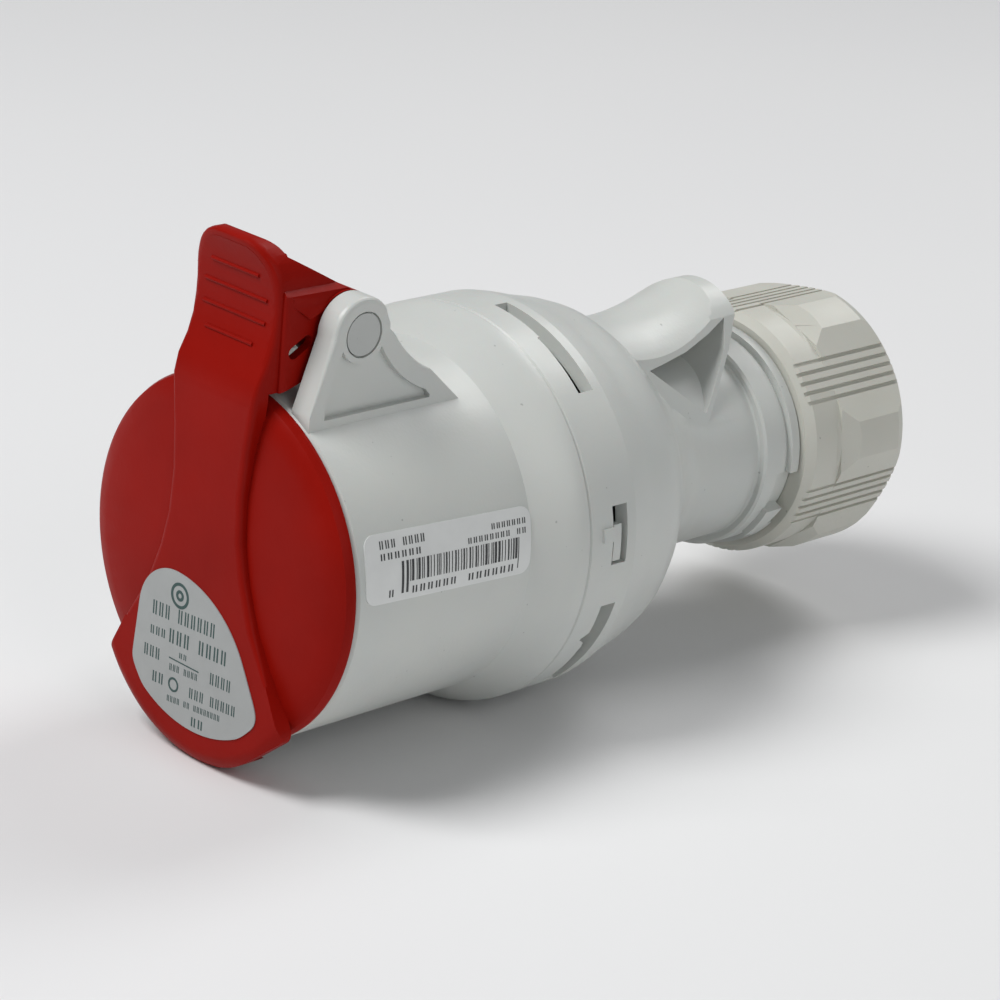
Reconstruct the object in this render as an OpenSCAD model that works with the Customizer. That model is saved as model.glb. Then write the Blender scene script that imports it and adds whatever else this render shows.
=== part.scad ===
// Round industrial cable coupler, 16 A, three phases and earth, with a sprung flap lid.
// The Y axis is the coupling axis: y = 0 is the front rim of the shell, +Y runs to the cable.
// +Z is up, towards the hinge of the lid.

/* [Shell] */
// Outer diameter of the shell
shell_d = 58; // [54:0.5:64]
// Wall of the shell round the socket mouth
shell_wall = 3; // [2.4:0.1:3.6]
// Length of the shell from its rim to the foot of the flange
shell_len = 36.5; // [33:0.5:44]
// Length of the sloping flange behind the shell
flange_len = 9.1; // [8:0.1:12]
// Height of the flange, and of the ring behind it, above the shell
flange_rise = 3.9; // [3.5:0.1:6]
// Length of the ring that the rear housing puts round the bayonet collar
ring_len = 10.3; // [9:0.1:13]
// Depth of the keyway in the bore
keyway_depth = 1.5; // [0.8:0.1:1.8]
// Width of the keyway in the bore
keyway_w = 6.6; // [5:0.2:9]

/* [Ears and hinge] */
// Distance between the outer faces of the two ears
ears_w = 30.4; // [28:0.2:34]
// Thickness of each ear
ear_t = 4; // [3:0.1:5]
// Distance of the hinge pin behind the rim
pin_y = 10.15; // [9:0.05:12]
// Height of the hinge pin above the coupling axis
pin_z = 38.3; // [37.5:0.1:42]
// Diameter of the hinge pin
pin_d = 6.6; // [5:0.1:7]
// Radius of the ear round the pin
ear_r = 5.75; // [5:0.05:7]
// Depth of the pocket in the outer face of each ear
pocket_depth = 1.1; // [0.6:0.1:1.8]

/* [Lid] */
// Thickness of the lid at its middle
lid_t = 4.3; // [3.6:0.1:5.5]
// Wall of the lid
lid_wall = 2.2; // [1.8:0.1:2.6]
// How far the raised band stands in front of the disc
band_rise = 1.3; // [0.8:0.1:2]
// Width of the thumb tab
tab_w = 18.8; // [14:0.2:20]
// Height of the tab's top above the coupling axis
tab_top = 52; // [50:0.2:58]
// Width of the waist of the band
waist_w = 16; // [12:0.2:18]
// Width of the foot of the band
foot_w = 39; // [34:0.5:42]
// Half width of the flat that the foot stands on
foot_flat = 5; // [3:0.5:6]
// Number of grip ribs on the tab
grip_ribs = 4; // [2:1:5]
// Thickness of the lid's rubber gasket
gasket_t = 1.8; // [1.2:0.1:2]
// Wire diameter of the lid spring
spring_wire = 1; // [0.6:0.1:1.2]
// Number of turns of the lid spring
spring_turns = 6; // [3:1:7]

/* [Contacts] */
// Diameter of the contact carrier
insert_d = 42.6; // [41:0.2:44]
// Distance of the carrier's face behind the rim
insert_recess = 4; // [2:0.5:8]
// Diameter of the circle on which the contacts stand
pitch_d = 27; // [25:0.5:28]
// Bore of the phase contacts
phase_bore = 5.1; // [4.8:0.05:5.4]
// Bore of the earth contact
earth_bore = 7.1; // [6.6:0.05:7.4]
// Wall of the contact sleeves
contact_wall = 1.2; // [0.9:0.1:1.4]
// Thickness of the retaining plate behind the carrier
retainer_t = 3; // [2:0.5:4]
// Diameter of the terminal screws
screw_d = 4; // [3:0.5:4]

/* [Rear housing] */
// Wall of the rear housing
rear_wall = 2.6; // [2.2:0.1:3]
// Length of the dome from the ring to the neck
dome_len = 28; // [24:0.5:34]
// Outer diameter of the neck
neck_d = 34.4; // [33:0.2:37]
// Length of the neck from the dome to its flange
neck_len = 20; // [16:0.5:26]
// Outer diameter of the flange on the neck
neck_flange_d = 37.6; // [36.5:0.2:40]
// Length of the flange on the neck
neck_flange_len = 6; // [4:0.5:8]
// Outer diameter of the ratchet collar behind the neck flange
collar_d = 39.2; // [38.4:0.2:41]
// Width of the finger rest at its tip
rest_tip_w = 16; // [12:0.5:20]
// Height of the finger rest's tip above the coupling axis
rest_tip_z = 29.2; // [27:0.2:31]

/* [Cable gland] */
// Wall of the gland nut between its bore and its flats
nut_wall = 4.1; // [3.6:0.1:5.5]
// Height of the nut's rounded corners above its flats
nut_corner = 1.7; // [1.2:0.1:2.2]
// Length of the gland nut
nut_len = 26.6; // [24:0.2:32]
// Outer diameter of the threaded spigot inside the nut
spigot_d = 35.2; // [34:0.2:36.4]
// Diameter of the cable opening in the nut
cable_hole_d = 19; // [16:0.5:22]
// Bore of the rubber cable seal
seal_bore_d = 13; // [10:0.5:16]
// Turn of the nut's flats about the coupling axis
nut_turn = 38; // [0:1:59]
// Number of grip grooves on each flat
nut_grooves = 5; // [3:1:6]

/* [Labels] */
// Thickness of the printed labels
label_t = 0.2; // [0.1:0.05:0.4]
// Distance of the side sticker behind the rim
sticker_edge = 1.5; // [1:0.5:8]
// Height of the side sticker along the curve of the shell
sticker_h = 10.6; // [8:0.2:13]

/* [Hidden] */
$fn = 96;
gap = 0.3;
run_fit = 0.08;

shell_r = shell_d / 2;
bore_r = shell_r - shell_wall;
ring_r = shell_r + flange_rise;
flange_y = shell_len + flange_len;
seam = 0.3;
ring_y = flange_y + seam;
ring_end = ring_y + ring_len;
pin_r = pin_d / 2;

insert_r = insert_d / 2;
pitch_r = pitch_d / 2;
carrier_flange_y = shell_len - 2.5;
carrier_flange_t = 3.3;
carrier_flange_r = bore_r + 1.4;
retainer_y = carrier_flange_y + carrier_flange_t;
retainer_end = retainer_y + retainer_t;
phase_r = phase_bore / 2;
earth_r = earth_bore / 2;
aperture_t = 2.5;
contact_front = insert_recess + aperture_t;
contact_collar_t = 6;
terminal_len = 12;
contact_slot_w = 0.7;

collar_r = ring_r - rear_wall - gap;
collar_wall = 2.4;
collar_end = flange_y + 8.9;
window_front = ring_y + 5;
window_back = window_front + 3.3;
lug_top = ring_r - 1.1;
lug_spans = [[50, 66], [-49, -34], [170, 186], [230, 246]];
tongue_span = [-1, 9.5];
window_spans = [[47.5, 68], [-51.5, -14.8], [168, 206], [228, 266]];
window_step_span = [67.9, 86.6];
latch_span = [-1.8, 15];

neck_r = neck_d / 2;
dome_end = ring_end + dome_len;
neck_end = dome_end + neck_len;
neck_flange_r = neck_flange_d / 2;
neck_flange_end = neck_end + neck_flange_len;
ratchet_r = collar_d / 2;
ratchet_end = neck_flange_end + 1.9;
spigot_r = spigot_d / 2;
nut_y = ratchet_end + gap;
spigot_end = nut_y + 14;
spigot_wall = 2.6;
nut_end = nut_y + nut_len;
nut_flat_r = spigot_r + run_fit + nut_wall;
nut_r = nut_flat_r + nut_corner;
neck_bore_r = neck_r - rear_wall;
saddle_r = 42.5;
saddle_arch_r = 14;
tip_arch_r = 10.5;
cage_r = spigot_r - spigot_wall - run_fit;
cage_wall = 1.2;
cage_y = nut_y + 1.2;
cage_end = spigot_end + 1;
washer_t = 1.6;
cable_hole_r = cable_hole_d / 2;
groove_pitch = 1.75;
groove_w = 0.7;
groove_depth = 0.5;

disc_y = -lid_t;
band_y = disc_y - band_rise;
tab_r = tab_w / 2;
cheek_x = ears_w / 2 - ear_t - gap;
cheek_t = 2.2;
cheek_recess = 0.7;
barrel_r = ear_r;
spring_half = 5.2;
spring_r = pin_r + 0.4 + spring_wire / 2;
tab_back_y = 0.6;
gasket_r = bore_r + 1.2;
gasket_w = 5.2;
scoop_r = 22;
scoop_z = 42;
scoop_y = band_y + 3.5;
rib_top_z = 46.5;
rib_step = 3.5;
rib_r = 0.3;
tab_corner_r = 7;
blend_r = 14;
blend_reach = blend_r + scoop_r;
blend_dz = sqrt(pow(blend_reach, 2) - pow(blend_reach - scoop_y + band_y, 2));
blend_a = asin(blend_dz / blend_reach);
foot_round = 3.3;
foot_back_y = -0.8;
foot_depth = 5;
foot_mid_z = -8;
tab_foot_z = shell_r + 0.4;
bridge_z = pin_z + barrel_r;

contact_angles = [0, 90, 180, 270];

// Turns a body drawn along Z so that it runs along the coupling axis
module axial() {
    rotate([-90, 0, 0]) children();
}

// Turns what is drawn on the +X side to an angle measured from +X towards +Z
module at_angle(a) {
    rotate([0, -a, 0]) children();
}

// Revolves an outline of [radius, y] points about the coupling axis
module turned(points) {
    axial() rotate_extrude() polygon(points);
}

// A plain tube along the coupling axis
module tube(r_out, r_in, y0, y1) {
    turned([[r_in, y0], [r_out, y0], [r_out, y1], [r_in, y1]]);
}

// A cylinder along the coupling axis
module rod(r, y0, y1) {
    translate([0, y0, 0]) axial() cylinder(r = r, h = y1 - y0);
}

// Extrudes an outline drawn in the YZ plane from x0 to x1
module side_plate(x0, x1) {
    translate([x0, 0, 0]) rotate([90, 0, 90]) linear_extrude(x1 - x0) children();
}

// Extrudes an outline drawn in the XZ plane from y0 to y1
module front_plate(y0, y1) {
    translate([0, y1, 0]) rotate([90, 0, 0]) linear_extrude(y1 - y0) children();
}

// A sector of a tube between two angles
module tube_sector(r_out, r_in, y0, y1, a0, a1) {
    translate([0, y0, 0]) rotate([-90, -a1, 0])
        rotate_extrude(angle = a1 - a0)
            translate([r_in, 0]) square([r_out - r_in, y1 - y0]);
}

// Outline of an ear in the YZ plane, drawn in by an inset
module ear_outline(inset) {
    r = ear_r - inset;
    difference() {
        union() {
            translate([pin_y, pin_z]) circle(r);
            polygon([
                [0.4 + inset, shell_r * 0.62],
                [0.4 + inset, shell_r - 2],
                [pin_y - r, pin_z],
                [pin_y + r, pin_z],
                [32.4 - 2 * inset, shell_r - 5.2],
                [32.4 - 2 * inset, shell_r * 0.62]
            ]);
        }
        // hollow curve of the back edge
        translate([34 - inset, 49 - inset]) circle(20.6);
    }
}

// Pocket in the outer face of an ear
module ear_pocket() {
    difference() {
        intersection() {
            ear_outline(2.4);
            translate([3.4, shell_r - 3]) square([21.6, 12]);
        }
        translate([pin_y, pin_z]) circle(pin_r + 1.2);
    }
}

module ear() {
    x_out = ears_w / 2;
    difference() {
        side_plate(x_out - ear_t, x_out) ear_outline(0);
        side_plate(x_out - pocket_depth, x_out + 1) ear_pocket();
        // shadow gap round the head of the pin
        translate([x_out - 0.6, pin_y, pin_z]) rotate([0, 90, 0]) cylinder(r = pin_r + 0.3, h = 1);
    }
}

module front_housing() {
    color([0.78, 0.79, 0.77]) {
        difference() {
            union() {
                turned([
                    [bore_r + 0.8, 0],
                    [shell_r - 0.6, 0],
                    [shell_r, 0.6],
                    [shell_r, shell_len],
                    [shell_r + 0.5, shell_len + 1.1],
                    [ring_r - 1.3, shell_len + 5],
                    [ring_r - 0.4, shell_len + 6.6],
                    [ring_r, shell_len + 8.2],
                    [ring_r, flange_y],
                    [collar_r, flange_y],
                    [collar_r, collar_end - 0.6],
                    [collar_r - 0.6, collar_end],
                    [collar_r - collar_wall, collar_end],
                    [carrier_flange_r, carrier_flange_y + 6.4],
                    [carrier_flange_r, carrier_flange_y],
                    [bore_r, carrier_flange_y],
                    [bore_r, 0.8]
                ]);
                for (side = [0, 1]) mirror([side, 0, 0]) ear();
                // bayonet lugs seen in the windows
                for (s = lug_spans)
                    tube_sector(lug_top, collar_r - 0.5, window_front + 0.6, window_back - 0.6, s[0], s[1]);
                // snap tongue that locks the two housings
                tube_sector(ring_r - 0.3, collar_r - 0.5, window_front + 0.5, window_front + 2.2,
                    tongue_span[0], tongue_span[1]);
            }
            // the socket stays clear of the ears
            rod(bore_r, -1, carrier_flange_y);
            // keyway at the bottom of the bore
            translate([-keyway_w / 2, -1, -bore_r - keyway_depth])
                cube([keyway_w, carrier_flange_y - 2, keyway_depth + 3]);
            // pin holes
            translate([-ears_w, pin_y, pin_z]) rotate([0, 90, 0]) cylinder(r = pin_r + 0.05, h = 2 * ears_w);
        }
    }
}

// Points of an arc from angle a0 to a1
function arc(c, r, a0, a1, n = 8) = [for (i = [0:n]) c + r * [cos(a0 + (a1 - a0) * i / n), sin(a0 + (a1 - a0) * i / n)]];

function mirrored(points) = [for (i = [len(points) - 1:-1:0]) [-points[i][0], points[i][1]]];

// Right side of the raised band in the XZ plane, from the foot's flat to the middle of the tab's top
band_right = concat(
    [[foot_flat, -ring_r]],
    arc([0.5, 19.3 - ring_r], 19.3, -72, -50),
    arc([foot_w / 2 - 1.5, -21.6], 2, -50, 35, 5),
    [
        [foot_w / 2 - 3, -14.4],
        [waist_w / 2 + 4.4, -7],
        [waist_w / 2 + 1.8, 0],
        [waist_w / 2 + 0.4, 6],
        [waist_w / 2, 13],
        [waist_w / 2 + 0.5, 20],
        [tab_r, 28]
    ],
    arc([tab_r - tab_corner_r, tab_top - tab_corner_r], tab_corner_r, 0, 90)
);

module band_outline() {
    polygon(concat(band_right, mirrored(band_right)));
}

// Rounded rectangle about the origin
module rounded_rect(w, h, r) {
    corner = concat(arc([w / 2 - r, r - h / 2], r, -90, 0, 5), arc([w / 2 - r, h / 2 - r], r, 0, 90, 5));
    polygon(concat(corner, mirrored(corner)));
}

// Side outline of the band in the YZ plane: flat in front, with the scoop for the thumb
module band_section() {
    difference() {
        union() {
            translate([band_y, -ring_r - 1]) square([-band_y - 2.8, ring_r + tab_top - 2]);
            // the foot reaches back so that its flat bears
            translate([band_y, -ring_r - 1]) square([foot_back_y - band_y, foot_depth]);
            translate([band_y, tab_foot_z]) square([tab_back_y - band_y, tab_top - tab_foot_z - 2]);
            translate([band_y + 3.1, tab_top - 3.1]) circle(3.1);
            translate([band_y + 3.1, tab_top - 6]) square([tab_back_y - band_y - 3.1, 3]);
        }
        translate([scoop_y - scoop_r, scoop_z]) circle(scoop_r);
        // soft start of the scoop
        polygon(concat(
            [[band_y - 1, scoop_z - blend_dz]],
            arc([band_y + blend_r, scoop_z - blend_dz], blend_r, 180, 180 - blend_a, 8),
            [[band_y - 1, scoop_z - blend_dz + blend_r * sin(blend_a)]]
        ));
    }
}

// Space that rounds the front edge of the foot and leaves the rest of the band alone
module foot_rounding() {
    r = sqrt(pow(ring_r + foot_mid_z, 2) + pow(foot_flat, 2));
    translate([-40, band_y - 1, -15]) cube([80, 12, 80]);
    translate([0, 0, foot_mid_z]) axial() rotate_extrude() {
        translate([0, band_y]) square([r - foot_round, 12]);
        translate([0, band_y + foot_round]) square([r + 3, 12 - foot_round]);
        translate([r - foot_round, band_y + foot_round]) circle(foot_round);
    }
}

// Side outline of the web that joins the tab to the hinge
module cheek_outline() {
    union() {
        polygon([
            [-1.2, tab_foot_z],
            [-1.2, tab_top - 2.4],
            [0.6, tab_top - 2.4],
            [pin_y + 1.6, bridge_z - 0.4],
            [pin_y, pin_z - barrel_r + 0.3],
            [1.4, tab_foot_z + 0.8]
        ]);
        translate([pin_y, pin_z]) circle(barrel_r);
    }
}

// Side outline of the bridge between the cheeks
module bridge_outline() {
    polygon([
        [-1.2, tab_top - 2.4],
        [0.6, tab_top - 2.4],
        [pin_y + 1.6, bridge_z + 1],
        [pin_y + 1.6, bridge_z - 2.4],
        [pin_y - 3, bridge_z - 1.4],
        [-1.2, tab_top - 6]
    ]);
}

// Front outline of the web behind the tab, which narrows to the tab's rounded top
web_right = concat(
    [[cheek_x, 20], [cheek_x, pin_z + 3], [cheek_x - 0.4, pin_z + 6]],
    arc([tab_r - tab_corner_r, tab_top - tab_corner_r], tab_corner_r, 0, 90)
);

module web_outline() {
    polygon(concat(web_right, mirrored(web_right)));
}

module flap_lid() {
    color([0.66, 0.07, 0.04]) difference() {
        union() {
            // slightly domed disc with a round edge
            turned([
                [0, disc_y],
                [12, disc_y + 0.15],
                [20, disc_y + 0.45],
                [25, disc_y + 0.95],
                [27.4, disc_y + 1.55],
                [28.6, disc_y + 2.4],
                [shell_r, disc_y + 3.3],
                [shell_r, -gap],
                [0, -gap]
            ]);
            // raised band, from the foot to the thumb tab
            intersection() {
                front_plate(band_y - 1, 3) band_outline();
                side_plate(-40, 40) band_section();
                foot_rounding();
            }
            // cheeks, bridge and hinge barrels
            intersection() {
                union() {
                    for (s = [0, 1]) mirror([s, 0, 0])
                        side_plate(cheek_x - cheek_t, cheek_x) cheek_outline();
                    intersection() {
                        side_plate(-cheek_x, cheek_x) cheek_outline();
                        side_plate(-cheek_x, cheek_x) bridge_outline();
                    }
                }
                front_plate(-3, pin_y + barrel_r + 1) web_outline();
            }
            for (s = [0, 1]) mirror([s, 0, 0])
                translate([spring_half, pin_y, pin_z]) rotate([0, 90, 0])
                    cylinder(r = barrel_r, h = cheek_x - spring_half);
        }
        // recess behind the disc, with its gasket seat
        rod(gasket_r, disc_y + lid_wall, 1);
        // pin bore
        translate([-20, pin_y, pin_z]) rotate([0, 90, 0]) cylinder(r = pin_r + run_fit, h = 40);
        // room for the spring
        translate([-spring_half, pin_y, pin_z]) rotate([0, 90, 0])
            cylinder(r = spring_r + spring_wire / 2 + 0.3, h = 2 * spring_half);
        // the lower part of each cheek lies deeper than the bridge
        for (s = [0, 1]) mirror([s, 0, 0]) side_plate(cheek_x - cheek_recess, cheek_x + 1) polygon([
            [0.2, tab_foot_z - 1],
            [0.2, bridge_z - 1.5],
            [3.2, bridge_z - 3.5],
            [7.6, bridge_z - 1.8],
            [9.2, bridge_z - 3.4],
            [6, tab_foot_z - 1]
        ]);
        // oblong slots in the cheeks
        for (s = [0, 1]) mirror([s, 0, 0]) side_plate(cheek_x - 3, cheek_x + 1) {
            translate([0.9, 35.5]) circle(1);
            translate([3.4, 36.9]) circle(1);
            translate([2.15, 36.2]) rotate(29.2) square([2.86, 2], center = true);
        }
    }
    // fine grip ribs in the scoop
    color([0.66, 0.07, 0.04]) for (i = [0:grip_ribs - 1]) {
        rib_w = i == 0 || i == grip_ribs - 1 ? tab_w * 0.56 : tab_w * 0.74;
        rib_z = rib_top_z - i * rib_step;
        rib_y = scoop_y - scoop_r + sqrt(scoop_r * scoop_r - pow(rib_z - scoop_z, 2));
        translate([-rib_w / 2, rib_y, rib_z]) rotate([0, 90, 0]) cylinder(r = rib_r, h = rib_w, $fn = 16);
    }
}

module lid_gasket() {
    color([0.12, 0.12, 0.12]) difference() {
        tube(gasket_r, gasket_r - gasket_w, disc_y + lid_wall, disc_y + lid_wall + gasket_t);
        // shallow groove that makes the sealing lips
        tube(gasket_r - 1.6, gasket_r - gasket_w + 1.6, disc_y + lid_wall + gasket_t - 0.5, 1);
    }
}

// Rounded egg shape of the lid's label in the XZ plane
module lid_label() {
    color([0.92, 0.92, 0.9]) front_plate(band_y - label_t, band_y) polygon(concat(
        arc([0.6, -5], 22.6, -127, -61, 14),
        arc([12.5, -20.3], 2.6, -50, 30, 5),
        arc([-5.3, -22], 19, 28, 88, 12),
        arc([-5.2, -11], 8, 91, 180, 10),
        arc([-11.2, -19.8], 2.9, 180, 232, 5)
    ));
}

module hinge_pin() {
    color([0.72, 0.73, 0.72]) translate([-ears_w / 2 + 0.1, pin_y, pin_z]) rotate([0, 90, 0])
        cylinder(r = pin_r, h = ears_w - 0.2);
}

// Points of one ring of the wire, with its centre and two directions across it
function wire_ring(c, u, v, r, n) = [for (k = [0:n - 1]) c + r * (cos(360 * k / n) * u + sin(360 * k / n) * v)];

// Path of the lid spring: leg, coils, leg, as [x, y, z] about the pin
spring_steps = 20;
spring_a0 = -62;
spring_a1 = 110;
spring_leg_front = 10.8;
spring_leg_back = 7.5;
spring_sweep = 360 * (spring_turns - 1) + (spring_a1 - spring_a0);
spring_pitch = (2 * spring_half - 2 * spring_wire - 0.6) / (spring_sweep / 360);
spring_n = ceil(spring_sweep / 360 * spring_steps);
function spring_at(t) = [
    -spring_half + spring_wire + 0.3 + spring_pitch * spring_sweep * t / 360,
    spring_r * cos(spring_a0 + spring_sweep * t),
    spring_r * sin(spring_a0 + spring_sweep * t)
];
function spring_tangent(t) = [0, -sin(spring_a0 + spring_sweep * t), cos(spring_a0 + spring_sweep * t)];
leg_in = spring_at(0) - spring_leg_front * spring_tangent(0);
leg_out = spring_at(1) + spring_leg_back * spring_tangent(1);
spring_path = concat([leg_in], [for (i = [0:spring_n]) spring_at(i / spring_n)], [leg_out]);

module lid_spring() {
    n = 6;
    path = spring_path;
    m = len(path);
    function dir(i) = path[min(i + 1, m - 1)] - path[max(i - 1, 0)];
    function unit(v) = v / norm(v);
    rings = [for (i = [0:m - 1])
        let (d = unit(dir(i)), u = unit(cross(d, [1, 0, 0.001])), v = cross(d, u))
        wire_ring(path[i], u, v, spring_wire / 2, n)];
    color([0.6, 0.6, 0.62]) translate([0, pin_y, pin_z]) polyhedron(
        points = [for (ring = rings) for (p = ring) p],
        faces = concat(
            [[for (k = [0:n - 1]) k]],
            [for (i = [0:m - 2]) for (k = [0:n - 1])
                [i * n + k, (i + 1) * n + k, (i + 1) * n + (k + 1) % n, i * n + (k + 1) % n]],
            [[for (k = [n - 1:-1:0]) (m - 1) * n + k]]
        )
    );
}

module side_sticker() {
    mid = 11.5;
    color([0.93, 0.93, 0.92]) intersection() {
        tube(shell_r + label_t, shell_r, 0.8, shell_len);
        at_angle(mid) translate([0, (sticker_edge + shell_len) / 2, 0])
            side_plate(shell_r - 9, shell_r + 1) rounded_rect(shell_len - sticker_edge, sticker_h, 2);
    }
}

// Places a child at each contact of the given list of angles, along the coupling axis
module at_contact(a) {
    translate([pitch_r * cos(a), 0, pitch_r * sin(a)]) children();
}

function bore_at(a) = a == 270 ? earth_r : phase_r;
function sleeve_at(a) = bore_at(a) + contact_wall;

module contact_carrier() {
    color([0.25, 0.26, 0.27]) difference() {
        turned([
            [0, insert_recess],
            [insert_r - 0.8, insert_recess],
            [insert_r, insert_recess + 0.8],
            [insert_r, carrier_flange_y],
            [carrier_flange_r - 0.1, carrier_flange_y],
            [carrier_flange_r - 0.1, retainer_y],
            [0, retainer_y]
        ]);
        for (a = contact_angles) at_contact(a) {
            rod(bore_at(a), insert_recess - 1, contact_front + 1);
            rod(sleeve_at(a) + 0.35, contact_front, retainer_y + 1);
            rod(sleeve_at(a) + 0.9, retainer_y - contact_collar_t, retainer_y + 1);
        }
        // moulded hollow in the middle of the face
        rod(4, insert_recess - 1, insert_recess + 9);
    }
}

module contact_retainer() {
    color([0.2, 0.21, 0.22]) difference() {
        rod(carrier_flange_r - 0.1, retainer_y, retainer_end);
        for (a = contact_angles) at_contact(a) rod(sleeve_at(a) + 0.15, retainer_y - 1, retainer_end + 1);
        rod(3, retainer_y - 1, retainer_end + 1);
    }
}

// Slotted socket sleeve in front, collar in the carrier, terminal barrel behind
module contact(a) {
    color([0.83, 0.68, 0.32]) at_contact(a) difference() {
        union() {
            rod(sleeve_at(a), contact_front + 0.1, retainer_y);
            rod(sleeve_at(a) + 0.75, retainer_y - contact_collar_t + 0.1, retainer_y);
            rod(sleeve_at(a), retainer_y - 1, retainer_end + terminal_len);
        }
        rod(bore_at(a), contact_front - 1, retainer_y - contact_collar_t);
        // wire hole
        rod(sleeve_at(a) - 1.4, retainer_end + 1, retainer_end + terminal_len + 1);
        // slots that let the sleeve spring
        for (t = [0, 90])
            translate([0, contact_front, 0]) rotate([0, t, 0])
                translate([-10, -1, -contact_slot_w / 2])
                    cube([20, 15, contact_slot_w]);
        // tapped hole of the clamping screw
        at_angle(a) translate([0, retainer_end + terminal_len - 4, 0]) rotate([0, 90, 0])
            cylinder(r = screw_d / 2 + 0.05, h = 10);
    }
}

module contact_l1() { contact(180); }
module contact_l2() { contact(90); }
module contact_l3() { contact(0); }
module contact_earth() { contact(270); }

// Steel clip rings round the slotted sleeves
module contact_clips() {
    color([0.62, 0.63, 0.65]) for (a = contact_angles) at_contact(a) difference() {
        tube(sleeve_at(a) + 0.3, sleeve_at(a) + 0.02, contact_front + 2, contact_front + 7);
        at_angle(a + 45) translate([0, contact_front + 1, -0.5]) cube([10, 8, 1]);
    }
}

module terminal_screws() {
    y = retainer_end + terminal_len - 4;
    color([0.66, 0.67, 0.68]) for (a = contact_angles) at_contact(a) at_angle(a)
        translate([0.7, y, 0]) rotate([0, 90, 0]) difference() {
            cylinder(r = screw_d / 2, h = sleeve_at(a) + 0.9);
            translate([-0.5, -4, sleeve_at(a) + 0.1]) cube([1, 8, 2]);
        }
}

module housing_seal() {
    color([0.12, 0.12, 0.12]) tube(ring_r - 1.3, collar_r + 0.02, flange_y, ring_y);
}

// Outline of the finger rest from the side, from the dome to the tip and down to the neck
module rest_side() {
    polygon([
        [ring_end + 14, 0],
        [ring_end + 14, rest_tip_z + 1],
        [neck_end - 0.6, rest_tip_z + 1],
        [neck_end - 0.2, rest_tip_z - 3.6],
        [neck_end - 3.4, 20],
        [neck_end - 7, 15],
        [neck_end - 11.6, 9],
        [neck_end - 11.6, 0]
    ]);
}

// Outline of the finger rest from behind: arched top, sides that spread to the neck
module rest_back() {
    intersection() {
        polygon([
            [-14.8, 8.6], [14.8, 8.6], [9.8, 21.6], [rest_tip_w / 2, 26], [rest_tip_w / 2, 34],
            [-rest_tip_w / 2, 34], [-rest_tip_w / 2, 26], [-9.8, 21.6]
        ]);
        union() {
            translate([0, rest_tip_z - tip_arch_r]) circle(tip_arch_r);
            translate([-20, 0]) square([40, 22]);
        }
    }
}

// Saddle that hollows the top of the finger rest along its length and arches it across
module rest_saddle() {
    translate([0, ring_end + 26.5, rest_tip_z - 3.9 + saddle_r]) rotate([0, 90, 0]) rotate_extrude() difference() {
        translate([saddle_r - 22, -13]) square([22 + saddle_arch_r, 26]);
        translate([saddle_r + saddle_arch_r, 0]) circle(saddle_arch_r);
    }
}

module finger_rest() {
    difference() {
        intersection() {
            side_plate(-20, 20) rest_side();
            front_plate(ring_end, neck_end + 5) rest_back();
        }
        rest_saddle();
        // the pockets leave a web in the middle and a thin rim round each side
        for (s = [0, 1]) mirror([s, 0, 0]) side_plate(1, 20) polygon([
            [ring_end + 24.6, 19.4],
            [ring_end + 28.5, 20],
            [ring_end + 34, 21],
            [ring_end + 40, 22.9],
            [neck_end - 3.3, rest_tip_z - 4.3],
            [neck_end - 4.6, 20],
            [neck_end - 8.2, 15],
            [neck_end - 11.4, 10.9]
        ]);
    }
}

module rear_shell() {
    w = rear_wall;
    turned([
        [collar_r + gap, ring_y],
        [ring_r - 0.3, ring_y],
        [ring_r, ring_y + 0.3],
        [ring_r, ring_end],
        [ring_r - 0.5, ring_end + 2.4],
        [ring_r - 1.6, ring_end + 6.3],
        [ring_r - 2.6, ring_end + 11],
        [ring_r - 3.6, ring_end + 14],
        [ring_r - 5.3, ring_end + 16.6],
        [ring_r - 8.7, ring_end + 20.7],
        [neck_r + 3.6, ring_end + 24.4],
        [neck_r + 1.4, dome_end],
        [neck_r + 0.3, dome_end + 4],
        [neck_r, dome_end + 8],
        [neck_r, neck_end - 0.3],
        [neck_r + 0.3, neck_end],
        [neck_flange_r - 0.4, neck_end],
        [neck_flange_r, neck_end + 0.4],
        [neck_flange_r, neck_flange_end - 0.8],
        [neck_flange_r - 0.4, neck_flange_end],
        [ratchet_r, neck_flange_end],
        [ratchet_r, ratchet_end],
        [spigot_r, ratchet_end],
        [spigot_r, spigot_end],
        [spigot_r - spigot_wall, spigot_end],
        [spigot_r - spigot_wall, cage_y],
        [neck_bore_r - 1.6, cage_y - 1],
        [neck_bore_r - 1.6, neck_end],
        [neck_bore_r, neck_end - 3],
        [neck_bore_r, dome_end + 6],
        [neck_bore_r + 1.2, dome_end],
        [neck_bore_r + 3.2, dome_end - 4],
        [ring_r - 8.7 - w * 1.2, ring_end + 19.4],
        [ring_r - 5.3 - w, ring_end + 14.6],
        [ring_r - 2.6 - w * 1.1, ring_end + 10],
        [ring_r - 1.6 - w * 1.1, ring_end + 6],
        [ring_r - 0.5 - w * 1.1, ring_end + 1.4],
        [collar_r + gap, ring_end - 0.6]
    ]);
}

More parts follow.
